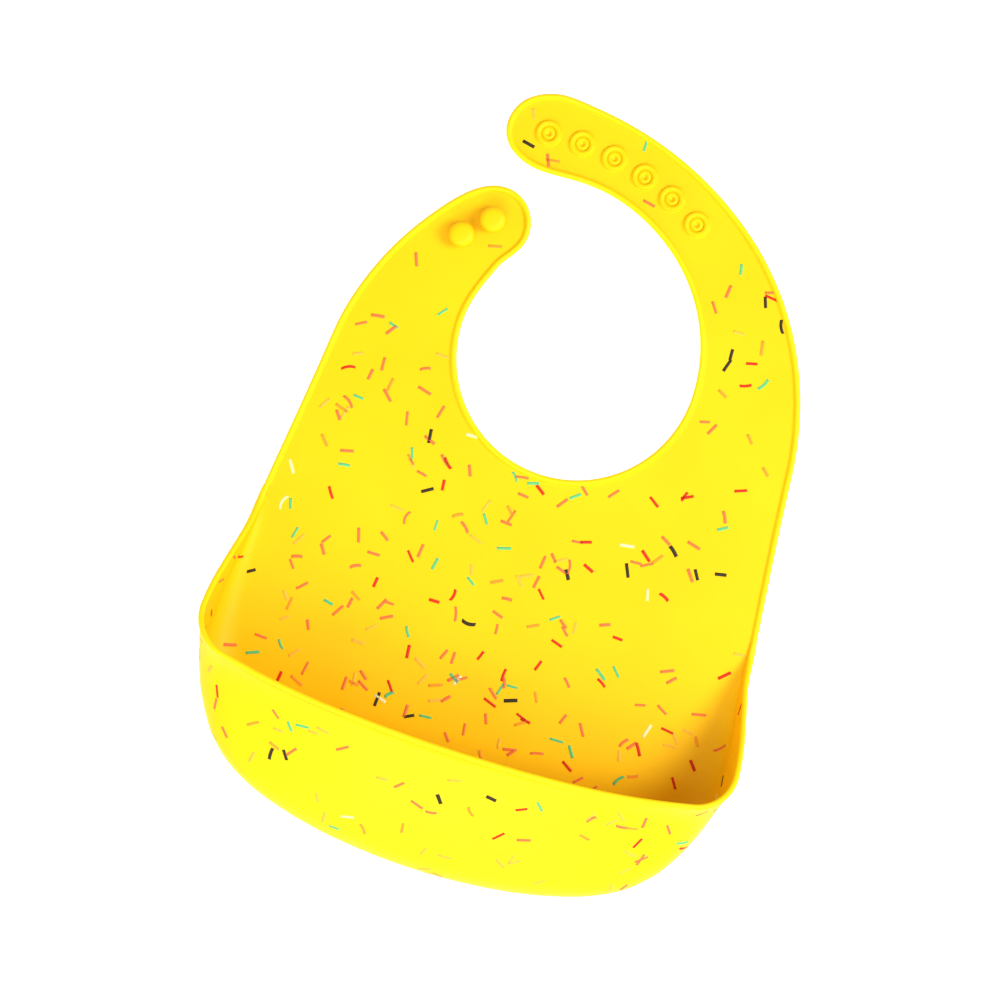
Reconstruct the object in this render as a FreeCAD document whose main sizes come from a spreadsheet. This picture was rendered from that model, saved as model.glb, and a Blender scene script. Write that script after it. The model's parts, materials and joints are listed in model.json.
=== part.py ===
import FreeCAD, Part

import math
import os

import Sketcher
from FreeCAD import Vector

# A one-piece moulded silicone bib, lying on its back.
# Row frame: millimetres, +Z out of the front face, +Y towards the neck, origin under
# the middle of the bib, on the plane that its back rests on.
# The moulding is divided where it bends, so that each stiff region, each flexing strip,
# each length of edge bead, each stud and each socket is a solid of its own.

DIMENSIONS = {
    "neck_centre_y": 58.5,        # centre of the neckline's round part, from the origin
    "neck_radius": 48.2,
    "sheet_thickness": 1.4,
    "bead_width": 2.5,            # the raised edge bead, seen from the front
    "bead_height": 2.8,
    "bead_rounding": 1.0,
    "rim_bead_diameter": 2.3,     # the slimmer bead round the pocket's rim
    "fold_line_y": -74.0,         # bend across the chest, from the neck centre
    "fold_strip_length": 28.0,
    "strap_line_y": -2.0,         # bend at the root of both straps, from the neck centre
    "strap_strip_length": 24.0,
    "curl_line_x": 49.0,          # middle of the bend half way up the long strap
    "curl_line_y": 49.0,
    "curl_angle": 45.0,           # direction of that bend line, from +X
    "curl_strip_length": 24.0,
    "stud_head_diameter": 10.4,
    "stud_head_height": 4.6,
    "stud_neck_diameter": 4.6,
    "stud_neck_height": 2.2,
    "socket_diameter": 10.2,
    "socket_ring_height": 1.3,
    "socket_ring_bore": 5.8,
    "socket_plug_diameter": 7.4,
    "socket_hole_diameter": 1.6,
    "socket_ring_rounding": 0.5,
    "rim_slope": 0.66,            # rise of the pocket's rim, per millimetre towards the hem
    "rim_start_y": -93.5,         # where the rim leaves the panel, from the neck centre
    "rim_ease": 3.0,              # how gently it leaves it
    "belly_height": 15.0,         # height of the pocket's widest line, at its most
    "wall_angle_front": 26.0,     # slope of the pocket's front under the rim
    "wall_angle_side": 97.0,      # the same at its steep side walls
}

# Outlines are lists of (x, y, heading): the line passes each point in that direction,
# in degrees from +X, and runs between two points as a pair of tangent arcs.
# They are measured from the centre of the neckline.
RIGHT_SIDE = [(104.8, -100, 96.5), (96.3, -20, 95), (74, 41.9, 125.3), (18.6, 85.5, 157)]
LONG_STRAP_TIP = [(-15.7, 95.1, 171.7), (-33.5, 97, 177), (-55.6, 80, 270), (-38, 65.3, -3)]
LONG_STRAP_INSIDE = [(-21, 65.7, 1), (22.7, 50.4, -38), (43.7, 22.6, -68)]
SHORT_STRAP_INSIDE = [(-43.8, 17, 68), (-38.5, 27.8, 51)]
SHORT_STRAP_TIP = [(-33.4, 39.5, 90), (-48.5, 54.7, 183), (-62.4, 48.1, 223)]
LEFT_SIDE = [(-70.3, 39.3, 232), (-84.7, 16.7, 244), (-96.1, -22, 264.5), (-104.8, -100, 263.5)]

# The pocket's three guide lines, right half, from the panel's edge round to the middle:
# where its wall leaves the flat back, its widest line, and the middle of its rim bead.
POCKET_FOLD = [(100.9, -88, -86), (98.2, -122, -96), (80, -171, -134), (0, -193, 180)]
POCKET_BELLY = [(101.5, -88, -85), (106.2, -145, -90), (93.8, -183, -124), (66.5, -203, -161),
                (0, -213, 180)]
POCKET_RIM = [(102.1, -88, -84), (104.4, -110, -79), (108.2, -138, -90), (95, -153.5, -168),
              (0, -161.6, 180)]

SOCKETS = [(-38.6, 80.5), (-24.5, 80.6), (-10.5, 79), (3.3, 75.7), (16.3, 70.7), (28.9, 64)]
STUDS = [(-49, 40.4), (-58.9, 31)]

SAME_WAY = 1                      # both border lines of a ruled strip run the same way
POCKET_START = 0.05               # share of the guide lines where the pocket's wall begins
POCKET_CORNER = 0.52              # share at which the side wall hands over to the front
FRONT_GAP = 0.0055                # share kept open there, so the front can be pressed
FRONT_FOOT = 0.505                # rise at which the front starts, clear of the rolled edge
GRID_ALONG = 17                   # points across each pocket surface
GRID_UP = 13
RIM_STEPS = 24

doc = FreeCAD.newDocument("bib")
sheet = doc.addObject("Spreadsheet::Sheet", "Sizes")
sheet.Label = "Sizes"
for row, (alias, value) in enumerate(DIMENSIONS.items(), start=1):
    sheet.set(f"A{row}", alias)
    sheet.set(f"B{row}", str(value))
    sheet.setAlias(f"B{row}", alias)
doc.recompute()


def size(alias):
    return float(getattr(sheet, alias))


NECK = Vector(0, size("neck_centre_y"), 0)
parts = {}


# ---------------------------------------------------------------- plane geometry

def direction(angle):
    return Vector(math.cos(math.radians(angle)), math.sin(math.radians(angle)), 0)


def biarc_points(start, end):
    """Five points: both ends, the joint and a point on each of two tangent arcs."""
    p0, p1 = Vector(start[0], start[1], 0), Vector(end[0], end[1], 0)
    t0, t1 = direction(start[2]), direction(end[2])
    chord = p1 - p0
    tangents = t0 + t1
    a = 2 * (1 - t0.dot(t1))
    b = 2 * chord.dot(tangents)
    c = -chord.dot(chord)
    if abs(a) < 1e-6:
        reach = -c / b
    else:
        reach = (-b + math.sqrt(b * b - 4 * a * c)) / (2 * a)
    corner0, corner1 = p0 + t0 * reach, p1 - t1 * reach
    joint = (corner0 + corner1) * 0.5
    return p0, arc_middle(p0, corner0, joint), joint, arc_middle(joint, corner1, p1), p1


def arc_middle(start, corner, end):
    """The middle of the arc that is tangent to start-corner and corner-end."""
    half_chord = (end - start).Length / 2
    height = (corner - (start + end) * 0.5).Length
    leg = math.hypot(half_chord, height)
    sagitta = height * half_chord / (half_chord + leg)
    middle = (start + end) * 0.5
    if height < 1e-9:
        return middle
    return middle + (corner - middle) * (sagitta / height)


def arc_or_line(start, through, end):
    if (through - (start + end) * 0.5).Length < 1e-4:
        return Part.LineSegment(start, end).toShape()
    return Part.Arc(start, through, end).toShape()


def outline_edges(stations, offset=Vector(0, 0, 0)):
    edges = []
    for start, end in zip(stations, stations[1:]):
        p0, q0, joint, q1, p1 = [point + offset for point in biarc_points(start, end)]
        edges.append(arc_or_line(p0, q0, joint))
        edges.append(arc_or_line(joint, q1, p1))
    return edges


def polygon_face(corners):
    points = [Vector(x, y, 0) + NECK for x, y in corners]
    return Part.Face(Part.makePolygon(points + points[:1]))


def panel_face():
    """The flat part of the bib, carried on 12 mm past the chest bend's lower line."""
    neck = size("neck_radius")
    round_neck = [(neck + 0.2, -1.9, -90), (0.2, -1.9 - neck, -180), (0.2 - neck, -1.9, -270)]
    stations = (RIGHT_SIDE + LONG_STRAP_TIP + LONG_STRAP_INSIDE + round_neck
                + SHORT_STRAP_INSIDE + SHORT_STRAP_TIP + LEFT_SIDE)
    edges = outline_edges(stations, NECK)
    hem = Part.LineSegment(edges[-1].Vertexes[-1].Point, edges[0].Vertexes[0].Point).toShape()
    return Part.Face(Part.Wire(Part.__sortEdges__(edges + [hem])))


# ---------------------------------------------------------------- flat pieces

def origin_plane(body, role):
    return next(item for item in body.Origin.OriginFeatures if item.Role == role)


def sketch_of(body, name, faces, holes=()):
    """A sketch on the body's XY plane that holds the faces' outlines, and round holes."""
    sketch = body.newObject("Sketcher::SketchObject", name)
    sketch.AttachmentSupport = [(origin_plane(body, "XY_Plane"), "")]
    sketch.MapMode = "FlatFace"
    up = Vector(0, 0, 1)
    for face in faces:
        for edge in face.OuterWire.Edges:
            curve = edge.Curve
            if isinstance(curve, Part.Line):
                ends = [vertex.Point for vertex in edge.Vertexes]
                sketch.addGeometry(Part.LineSegment(*ends), False)
                continue
            first, last = edge.ParameterRange
            middle = edge.valueAt((first + last) / 2)
            sketch.addGeometry(Part.Arc(edge.valueAt(first), middle, edge.valueAt(last)), False)
    for centre, diameter_alias in holes:
        index = sketch.addGeometry(Part.Circle(centre, up, size(diameter_alias) / 2), False)
        number = sketch.addConstraint(Sketcher.Constraint("Diameter", index, size(diameter_alias)))
        sketch.setExpression(f"Constraints[{number}]", f"Sizes.{diameter_alias}")
    return sketch


def pad(body, name, sketch, height_alias):
    feature = body.newObject("PartDesign::Pad", name)
    feature.Profile = sketch
    feature.setExpression("Length", f"Sizes.{height_alias}")
    sketch.Visibility = False
    return feature


def flat_piece(label, faces, height_alias, holes=()):
    body = doc.addObject("PartDesign::Body", label)
    body.Label = label
    pad(body, f"{label}_pad", sketch_of(body, f"{label}_outline", faces, holes), height_alias)
    parts[label] = body
    return body


def bead_piece(label, face):
    """A length of edge bead: flush with the back, proud of the front, its top rounded."""
    body = flat_piece(label, [face], "bead_height")
    doc.recompute()
    ends = [edge for edge in face.OuterWire.Edges if edge.Length < size("bead_width") * 1.3]
    end_middles = [edge.valueAt(sum(edge.ParameterRange) / 2) for edge in ends]
    names = []
    top = size("bead_height")
    for number, edge in enumerate(body.Shape.Edges, start=1):
        if any(abs(vertex.Z - top) > 1e-6 for vertex in edge.Vertexes):
            continue
        middle = edge.valueAt(sum(edge.ParameterRange) / 2)
        flat_middle = Vector(middle.x, middle.y, 0)
        if all((flat_middle - end).Length > 1e-3 for end in end_middles):
            names.append(f"Edge{number}")
    padded = body.Tip
    rounding = body.newObject("PartDesign::Fillet", f"{label}_rounding")
    rounding.Base = (padded, names)
    rounding.setExpression("Radius", "Sizes.bead_rounding")
    body.Tip = rounding
    return body


def flex_strip(label, whole_face, bead_faces):
    """A strip that bends: sheet and beads in one."""
    body = flat_piece(label, [whole_face], "sheet_thickness")
    pad(body, f"{label}_beads", sketch_of(body, f"{label}_bead_outline", bead_faces), "bead_height")
    return body


def strip_band(centre, angle, length):
    """A long band across the bib, as a polygon face: its bend line runs along the angle."""
    along, across = direction(angle), direction(angle + 90)
    corners = []
    for side, end in ((-1, -1), (-1, 1), (1, 1), (1, -1)):
        corner = centre + across * (side * length / 2) + along * (end * 200)
        corners.append((corner.x, corner.y))
    return corners


def make_panel():
    whole = panel_face()
    inner = whole.makeOffset2D(-size("bead_width"))
    beads = whole.cut(inner)

    fold_low = size("fold_line_y") - size("fold_strip_length") / 2
    fold_high = size("fold_line_y") + size("fold_strip_length") / 2
    root_low = size("strap_line_y") - size("strap_strip_length") / 2
    root_high = size("strap_line_y") + size("strap_strip_length") / 2
    wide = 130
    gap_y = 60                    # between the short strap's tip and the long strap's
    curl = polygon_face(strip_band(Vector(size("curl_line_x"), size("curl_line_y"), 0),
                                   size("curl_angle"), size("curl_strip_length")))
    right_of_neck = polygon_face([(0, root_high), (wide, root_high), (wide, wide), (0, wide)])
    band = curl.common(right_of_neck).Faces[0]
    half = size("curl_strip_length") / math.sqrt(2)
    offset = size("curl_line_x") - size("curl_line_y")

    regions = {
        "chest_fold_strip": [(-wide, fold_low), (wide, fold_low), (wide, fold_high),
                             (-wide, fold_high)],
        "chest": [(-wide, fold_high), (wide, fold_high), (wide, root_low), (-wide, root_low)],
        "short_strap_root_strip": [(-wide, root_low), (0, root_low), (0, root_high),
                                   (-wide, root_high)],
        "short_strap": [(-wide, root_high), (0, root_high), (0, gap_y), (-wide, gap_y)],
        "long_strap_root_strip": [(0, root_low), (wide, root_low), (wide, root_high),
                                  (0, root_high)],
        "long_strap": [(root_high + offset + half, root_high), (wide, root_high),
                       (wide, wide - offset - half)],
        "long_strap_tip": [(0, half - offset), (wide, wide - offset + half), (wide, wide),
                           (-wide, wide), (-wide, gap_y), (0, gap_y)],
    }
    faces = {name: polygon_face(corners) for name, corners in regions.items()}
    faces["long_strap_curl_strip"] = band

    strips = ("chest_fold_strip", "short_strap_root_strip", "long_strap_root_strip",
              "long_strap_curl_strip")
    for name in strips:
        sheet_face = whole.common(faces[name]).Faces[0]
        flex_strip(name, sheet_face, beads.common(faces[name]).Faces)

    socket_holes = [(Vector(x, y, 0) + NECK, "socket_plug_diameter") for x, y in SOCKETS]
    for name in ("chest", "short_strap", "long_strap", "long_strap_tip"):
        holes = socket_holes if name == "long_strap_tip" else ()
        flat_piece(f"{name}_sheet", [inner.common(faces[name]).Faces[0]], "sheet_thickness", holes)
        bead_faces = beads.common(faces[name]).Faces
        for face, place in zip(bead_faces, bead_places(bead_faces, name)):
            bead_piece(f"{name}_{place}_bead", face)


def bead_places(faces, region):
    """A word for each length of bead: neck side, or outer edge on the left or right."""
    if len(faces) == 1:
        return ["edge"]
    words = []
    for face in faces:
        middle = face.CenterOfMass - NECK
        if region == "chest" and abs(middle.x) > size("neck_radius") * 1.5:
            words.append("left_edge" if middle.x < 0 else "right_edge")
        elif min((other.CenterOfMass - NECK).Length for other in faces) == middle.Length:
            words.append("neck")
        else:
            words.append("outer_edge")
    return words


# ---------------------------------------------------------------- studs and sockets

def revolved_piece(label, centre, profile):
    """A ring or knob turned about +Z: the profile is a closed list of (radius, z).

    An entry of four numbers is reached by an arc through the last two."""
    body = doc.addObject("PartDesign::Body", label)
    body.Label = label
    sketch = body.newObject("Sketcher::SketchObject", f"{label}_profile")
    sketch.AttachmentSupport = [(origin_plane(body, "XZ_Plane"), "")]
    sketch.MapMode = "FlatFace"
    for start, end in zip(profile, profile[1:] + profile[:1]):
        points = Vector(start[0], start[1], 0), Vector(end[0], end[1], 0)
        if len(end) == 2:
            sketch.addGeometry(Part.LineSegment(*points), False)
        else:
            through = Vector(end[2], end[3], 0)
            sketch.addGeometry(Part.Arc(points[0], through, points[1]), False)
    turn = body.newObject("PartDesign::Revolution", f"{label}_turn")
    turn.Profile = sketch
    turn.ReferenceAxis = (sketch, ["V_Axis"])
    turn.Angle = 360
    body.Placement = FreeCAD.Placement(Vector(centre[0], centre[1], 0) + NECK, FreeCAD.Rotation())
    parts[label] = body
    return body


def make_studs():
    floor = size("sheet_thickness")
    neck = size("stud_neck_diameter") / 2
    for number, centre in enumerate(STUDS, start=1):
        post = doc.addObject("Part::Cylinder", f"stud_post_{number}")
        post.Label = post.Name
        post.setExpression("Radius", "Sizes.stud_neck_diameter / 2")
        post.setExpression("Height", "Sizes.stud_neck_height")
        post.Placement = FreeCAD.Placement(Vector(centre[0], centre[1], floor) + NECK,
                                           FreeCAD.Rotation())
        parts[post.Label] = post
        head = size("stud_head_diameter") / 2
        low = floor + size("stud_neck_height")
        waist = low + size("stud_head_height") * 0.36
        top = low + size("stud_head_height")
        dome = (head ** 2 + (top - waist) ** 2) / (2 * (top - waist))
        lean = math.asin(head / dome) / 2
        profile = [
            (0, low),
            (neck, low),
            (head, waist, head * 0.86, low + (waist - low) * 0.2),
            (0, top, dome * math.sin(lean), top - dome * (1 - math.cos(lean))),
        ]
        revolved_piece(f"stud_head_{number}", centre, profile)


def make_sockets():
    floor = size("sheet_thickness")
    top = floor + size("socket_ring_height")
    rounding = size("socket_ring_rounding")
    hole = size("socket_hole_diameter") / 2
    plug = size("socket_plug_diameter") / 2
    bore = size("socket_ring_bore") / 2
    rim = size("socket_diameter") / 2
    bend = rounding * (1 - math.sqrt(0.5))
    for number, centre in enumerate(SOCKETS, start=1):
        profile = [
            (hole, 0),
            (plug, 0),
            (plug, floor),
            (rim, floor),
            (rim, top - rounding),
            (rim - rounding, top, rim - bend, top - bend),
            (bore + rounding, top),
            (bore, top - rounding, bore + bend, top - bend),
            (bore, floor),
            (hole + rounding, floor),
            (hole, floor - rounding, hole + bend, floor - bend),
        ]
        revolved_piece(f"socket_{number}", centre, profile)


# ---------------------------------------------------------------- pocket

def guide_line(stations):
    wire = Part.Wire(outline_edges(stations))
    return wire, wire.Length


def point_on(guide, share):
    wire, length = guide
    reach = min(max(share, 0), 1) * length
    for edge in wire.Edges:
        if reach <= edge.Length + 1e-9:
            break
        reach -= edge.Length
    forward = edge.Orientation == "Forward"
    reach = min(reach, edge.Length)
    parameter = edge.getParameterByLength(reach if forward else edge.Length - reach)
    tangent = edge.tangentAt(parameter)
    return edge.valueAt(parameter), (tangent if forward else tangent * -1)


def smooth(value):
    value = min(max(value, 0), 1)
    return value * value * (3 - 2 * value)


def rim_height(y):
    """Height of the rim bead's middle: level on the panel, then climbing at its slope."""
    past = size("rim_start_y") - y
    climb = (math.hypot(past, size("rim_ease")) + past) / 2
    return size("rim_bead_diameter") / 2 + size("rim_slope") * climb


FOLD = guide_line(POCKET_FOLD)
BELLY = guide_line(POCKET_BELLY)
RIM = guide_line(POCKET_RIM)


def rim_point(share):
    point, _ = point_on(RIM, share)
    return Vector(point.x, point.y, rim_height(point.y))


def wall_point(share, rise):
    """A point on the middle of the pocket's wall, right half, from the neck centre.

    share runs from the panel's edge (0) to the middle of the front (1), and rise from the
    flat back (0) by way of the widest line (0.5) to the rim (1)."""
    fold, _ = point_on(FOLD, share)
    belly, tangent = point_on(BELLY, share)
    rim = rim_point(share)
    base = size("sheet_thickness") / 2
    height = size("belly_height") * math.tanh(rim.z / (2 * size("belly_height")))
    if rise <= 0.5:
        turn = math.radians(180 * rise)
        plan = fold + (belly - fold) * math.sin(turn)
        return Vector(plan.x, plan.y, base + (height - base) * (1 - math.cos(turn)))
    outward = Vector(-tangent.y, tangent.x, 0)
    front = smooth((share - 0.15) / 0.7)
    angle = size("wall_angle_side") + (size("wall_angle_front") - size("wall_angle_side")) * front
    slope = math.radians(angle)
    down_wall = outward * math.cos(slope) - Vector(0, 0, math.sin(slope))
    clear = rim.z - height
    b0 = Vector(belly.x, belly.y, height)
    b1 = b0 + Vector(0, 0, clear * (0.35 - 0.05 * front))
    b2 = rim + down_wall * (clear * (0.35 + 0.55 * front))
    t = 2 * rise - 1
    return (b0 * (1 - t) ** 3 + b1 * (3 * t * (1 - t) ** 2) + b2 * (3 * t * t * (1 - t))
            + rim * t ** 3)


def signed_wall_point(share, rise):
    """The whole wall: share runs from 0 (left edge) by 1 (middle) to 2 (right edge)."""
    if share > 1:
        return wall_point(2 - share, rise) + NECK
    point = wall_point(share, rise)
    return Vector(-point.x, point.y, point.z) + NECK


def wall_normal(share, rise):
    """Unit vector out of the wall, away from the pocket's inside."""
    step = 1e-3
    along = signed_wall_point(share + step, rise) - signed_wall_point(share - step, rise)
    low, high = max(rise - step, 0), min(rise + step, 1)
    up = signed_wall_point(share, high) - signed_wall_point(share, low)
    return along.cross(up).normalize()


def surface(grid):
    skin = Part.BSplineSurface()
    skin.interpolate(grid)
    return skin.toShape()


def ruled(first, second):
    return Part.makeRuledSurface(first, second, SAME_WAY)


def solid_feature(label, faces):
    """A solid closed by these faces, as an object of the document."""
    shell = Part.Shell(faces)
    shell.sewShape()
    solid = Part.Solid(shell)
    if solid.Volume < 0:
        solid.reverse()
    piece = doc.addObject("Part::Feature", label)
    piece.Label = label
    piece.Shape = solid
    parts[label] = piece
    return piece


def wall_piece(label, share_from, share_to, rise_from, rise_to):
    """A closed solid of the pocket's wall: two skins half a thickness either side."""
    half = size("sheet_thickness") / 2
    grids = {-1: [], 1: []}
    for i in range(GRID_ALONG):
        share = share_from + (share_to - share_from) * i / (GRID_ALONG - 1)
        rows = {-1: [], 1: []}
        for j in range(GRID_UP):
            rise = rise_from + (rise_to - rise_from) * j / (GRID_UP - 1)
            middle = signed_wall_point(share, rise)
            normal = wall_normal(share, rise)
            for side in rows:
                rows[side].append(middle + normal * (side * half))
        for side in grids:
            grids[side].append(rows[side])
    skins = [surface(grids[side]) for side in grids]
    borders = []
    for skin in skins:
        spline = skin.Surface
        u0, u1, v0, v1 = spline.bounds()
        borders.append([spline.uIso(u0), spline.uIso(u1), spline.vIso(v0), spline.vIso(v1)])
    strips = [ruled(a.toShape(), b.toShape()) for a, b in zip(*borders)]
    return solid_feature(label, skins + strips)


def signed_rim_point(share):
    if share > 1:
        return rim_point(2 - share) + NECK
    point = rim_point(share)
    return Vector(-point.x, point.y, point.z) + NECK


def rim_ring(share):
    """A round section of the rim bead, square to the rim line."""
    step = 1e-3
    along = signed_rim_point(min(share + step, 2)) - signed_rim_point(max(share - step, 0))
    along.normalize()
    side = along.cross(Vector(0, 0, 1)).normalize()
    upward = side.cross(along)
    centre = signed_rim_point(share)
    radius = size("rim_bead_diameter") / 2
    right, top, left, low = [centre + arm * radius for arm in (side, upward, -side, -upward)]
    return Part.Wire([Part.Arc(right, top, left).toShape(), Part.Arc(left, low, right).toShape()])


def rim_piece(label, share_from, share_to):
    """A length of the rim bead: short straight-sided lengths between round sections."""
    shares = [share_from + (share_to - share_from) * i / RIM_STEPS for i in range(RIM_STEPS + 1)]
    piece = doc.addObject("Part::Feature", label)
    piece.Label = label
    piece.Shape = Part.makeLoft([rim_ring(share) for share in shares], True, True)
    parts[label] = piece
    return piece


def make_pocket():
    corner = POCKET_CORNER
    front = corner + FRONT_GAP
    wall_piece("left_side_wall", POCKET_START, corner, 0, 1)
    wall_piece("pocket_floor_roll", corner, 2 - corner, 0, 0.5)
    wall_piece("pocket_front", front, 2 - front, FRONT_FOOT, 1)
    rim_piece("left_rim_bead", corner, 0)
    rim_piece("front_rim_bead", front, 2 - front)
    wall_piece("right_side_wall", 2 - corner, 2 - POCKET_START, 0, 1)
    rim_piece("right_rim_bead", 2 - corner, 2)


def make_lower_sheet():
    """The flat back under the pocket, from the chest bend to where the wall leaves it."""
    top = size("fold_line_y") - size("fold_strip_length") / 2
    right = outline_edges(POCKET_FOLD, NECK)
    mirrored = [(-x, y, 180 - heading) for x, y, heading in POCKET_FOLD]
    left = outline_edges(mirrored, NECK)
    across = Part.LineSegment(Vector(-POCKET_FOLD[0][0], top, 0) + NECK,
                              Vector(POCKET_FOLD[0][0], top, 0) + NECK).toShape()
    wire = Part.Wire(Part.__sortEdges__(right + left + [across]))
    flat_piece("lower_sheet", [Part.Face(wire)], "sheet_thickness")


make_panel()
make_studs()
make_sockets()
make_lower_sheet()
make_pocket()
doc.recompute()

for item in doc.Objects:
    if "Invalid" in item.State or "Error" in item.State:
        raise RuntimeError(f"{item.Label} failed: {item.State}")
os.makedirs("parts", exist_ok=True)
for label, item in parts.items():
    shape = item.Shape
    if shape.isNull() or not shape.isValid() or not shape.Solids:
        raise RuntimeError(f"{label} has no valid shape")
for label, item in parts.items():
    item.Shape.exportStep(f"parts/{label}.step")
    print(label, len(item.Shape.Solids), round(item.Shape.Volume, 1))
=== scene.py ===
import json
import math
import random

import bmesh
import bpy
import numpy as np
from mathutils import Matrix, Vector
from mathutils.geometry import delaunay_2d_cdt


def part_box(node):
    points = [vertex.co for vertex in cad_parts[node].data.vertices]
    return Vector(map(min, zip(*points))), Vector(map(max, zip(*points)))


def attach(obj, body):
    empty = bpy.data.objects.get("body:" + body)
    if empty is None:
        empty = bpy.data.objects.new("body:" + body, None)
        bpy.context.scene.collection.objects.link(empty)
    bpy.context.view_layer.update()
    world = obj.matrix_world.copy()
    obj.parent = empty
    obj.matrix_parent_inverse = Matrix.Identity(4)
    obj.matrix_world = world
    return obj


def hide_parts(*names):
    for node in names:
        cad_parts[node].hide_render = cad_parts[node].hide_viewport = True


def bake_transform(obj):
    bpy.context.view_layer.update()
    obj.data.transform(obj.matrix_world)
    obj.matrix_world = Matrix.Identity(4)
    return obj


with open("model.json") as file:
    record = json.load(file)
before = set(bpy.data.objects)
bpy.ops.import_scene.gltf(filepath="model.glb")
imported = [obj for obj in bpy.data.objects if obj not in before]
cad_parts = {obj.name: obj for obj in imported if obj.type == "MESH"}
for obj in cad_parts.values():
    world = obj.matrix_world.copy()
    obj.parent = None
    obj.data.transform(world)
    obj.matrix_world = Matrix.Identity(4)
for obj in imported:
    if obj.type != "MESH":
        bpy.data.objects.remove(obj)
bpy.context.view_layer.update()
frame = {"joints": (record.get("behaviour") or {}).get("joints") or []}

# Lengths are in millimetres up to the point where a mesh is made, and in the CAD's own frame.
MM = 0.001
joints = {joint["name"]: joint for joint in frame["joints"]}

# ---------------------------------------------------------------- sizes of the bib

STRAP_LINE = -2.0                 # bend at the strap roots, from the neckline's centre
NECK_Y = joints["long_strap_bend"]["pos_m"][1] / MM - STRAP_LINE
NECK_RADIUS = 48.2
RING_X, RING_Y = 0.2, -1.9        # middle of the neck opening's round part

SHEET = 1.4
BEAD_HALF = 1.2                   # half the edge bead's width on the panel
BEAD_RISE = 1.4                   # half its height
RIM_HALF = 1.15                   # half its width and height where it is the pocket's rim
CREASE = [(2.44, 1.49), (2.62, 1.42), (2.95, 1.4)]    # foot of the bead: (inset, height)

RIM_SLOPE = 0.66                  # how far the rim climbs for each millimetre down the bib
RIM_START = -93.5                 # where it begins to climb
RIM_EASE = 3.0                    # how gently it begins
BELLY_HEIGHT = 15.0               # height that the wall's widest line comes near
WALL_ANGLE_FRONT = 26.0           # how steeply the wall falls from the rim, in degrees
WALL_ANGLE_SIDE = 97.0

POCKET_CUT = -88.0                # where the pocket piece meets the chest piece
CHEST_CUT = -30.0                 # where the chest piece meets the two straps
LONG_CUT = [(84.5, 24.0), (46.2, 15.0)]    # across the long strap, outer edge to neck

# Outlines are lists of (x, y, heading): the line passes each point in that direction,
# in degrees from +X, and runs between two points as a pair of tangent arcs.
# They are measured from the centre of the neckline.
PANEL = [
    (104.8, -100, 96.5), (96.3, -20, 95), (74, 41.9, 125.3), (18.6, 85.5, 157),
    (-15.7, 95.1, 171.7), (-33.5, 97, 177), (-55.6, 80, 270), (-38, 65.3, -3),
    (-21, 65.7, 1), (22.7, 50.4, -38), (43.7, 22.6, -68),
    (RING_X + NECK_RADIUS, RING_Y, -90), (RING_X, RING_Y - NECK_RADIUS, -180),
    (RING_X - NECK_RADIUS, RING_Y, -270), (-43.8, 17, 68), (-38.5, 27.8, 51),
    (-33.4, 39.5, 90), (-48.5, 54.7, 183), (-62.4, 48.1, 223),
    (-70.3, 39.3, 232), (-84.7, 16.7, 244), (-96.1, -22, 264.5), (-104.8, -100, 263.5),
]
POCKET_FOLD = [(98.6, -88, -88), (97.9, -122, -96), (80, -171, -134), (0, -193, 180)]
POCKET_BELLY = [(101.0, -88, -85), (106.2, -145, -90), (93.8, -183, -124),
                (66.5, -203, -161), (0, -213, 180)]
POCKET_RIM = [(102.35, -88, -84), (104.4, -110, -79), (108.2, -138, -90),
              (95, -153.5, -168), (0, -161.6, 180)]


# ---------------------------------------------------------------- lines made of arcs

def heading_vector(angle):
    return np.array([math.cos(angle), math.sin(angle)])


def arc_samples(start, heading, end, spacing):
    """Points and headings along the arc that leaves start in that direction and ends at end."""
    chord = end - start
    swing = math.atan2(chord[1], chord[0]) - heading
    swing = (swing + math.pi) % (2 * math.pi) - math.pi
    length = np.linalg.norm(chord) * (swing / math.sin(swing) if abs(swing) > 1e-9 else 1)
    count = max(2, math.ceil(length / spacing))
    share = np.arange(count) / count
    turned = heading + 2 * swing * share
    if abs(swing) < 1e-7:
        points = start + share[:, None] * chord
    else:
        radius = np.linalg.norm(chord) / (2 * math.sin(swing))
        points = start + radius * np.stack(
            [np.sin(turned) - math.sin(heading), math.cos(heading) - np.cos(turned)], 1)
    return points, turned, heading + 2 * swing


def biarc_joint(p0, t0, p1, t1):
    """The point where two tangent arcs from p0 to p1 meet."""
    chord, both = p1 - p0, t0 + t1
    a, b, c = 2 * (1 - t0 @ t1), 2 * chord @ both, -chord @ chord
    reach = -c / b if abs(a) < 1e-6 else (-b + math.sqrt(b * b - 4 * a * c)) / (2 * a)
    return (p0 + t0 * reach + p1 - t1 * reach) / 2


def line_samples(stations, spacing):
    """Points and headings along the whole line, both ends included."""
    points, headings = [], []
    for (x0, y0, h0), (x1, y1, h1) in zip(stations, stations[1:]):
        p0, p1 = np.array([x0, y0], float), np.array([x1, y1], float)
        h0, h1 = math.radians(h0), math.radians(h1)
        joint = biarc_joint(p0, heading_vector(h0), p1, heading_vector(h1))
        first, turned, h_joint = arc_samples(p0, h0, joint, spacing)
        second, turned2, _ = arc_samples(joint, h_joint, p1, spacing)
        points += [first, second]
        headings += [turned, turned2]
    points.append(p1[None])
    headings.append(np.array([h1]))
    return np.concatenate(points), np.concatenate(headings)


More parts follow.
